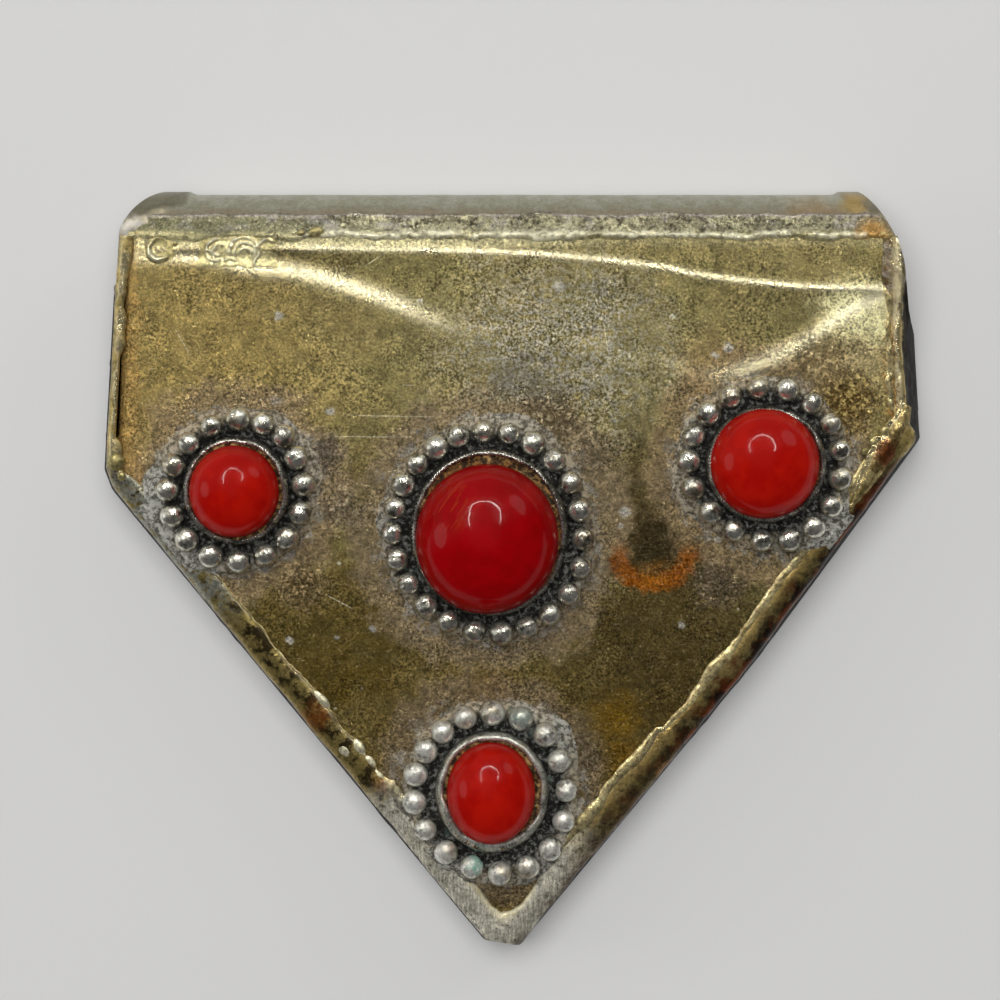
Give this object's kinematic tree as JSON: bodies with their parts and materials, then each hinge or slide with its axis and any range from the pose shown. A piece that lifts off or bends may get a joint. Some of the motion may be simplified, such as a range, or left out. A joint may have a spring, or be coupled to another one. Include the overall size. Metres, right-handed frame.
{
  "type": "brass pendant",
  "caption": "Hollow flat pendant of sheet brass with a pointed lower edge, a cord tube along its top and domed red stones in granulated settings.",
  "frame": {"origin": "middle of the bounding box in plan, on the flat back that the pendant lies on", "axes": "+X across the pendant along its cord tube, +Y from the tip up to the tube, +Z out of the face with the stones"},
  "size_m": [0.0572, 0.0524, 0.0119],
  "materials": {
    "brass": "satin",
    "white_metal": "satin",
    "cement": "matt",
    "red_glass": "polished"
  },
  "bodies": {
    "root": {"brass_case": "brass", "setting_centre": "white_metal", "setting_left": "white_metal", "setting_right": "white_metal", "setting_bottom": "white_metal", "bed_centre": "cement", "bed_left": "cement", "bed_right": "cement", "bed_bottom": "cement", "stone_centre": "red_glass", "stone_left": "red_glass", "stone_right": "red_glass", "stone_bottom": "red_glass"}
  },
  "joints": []
}
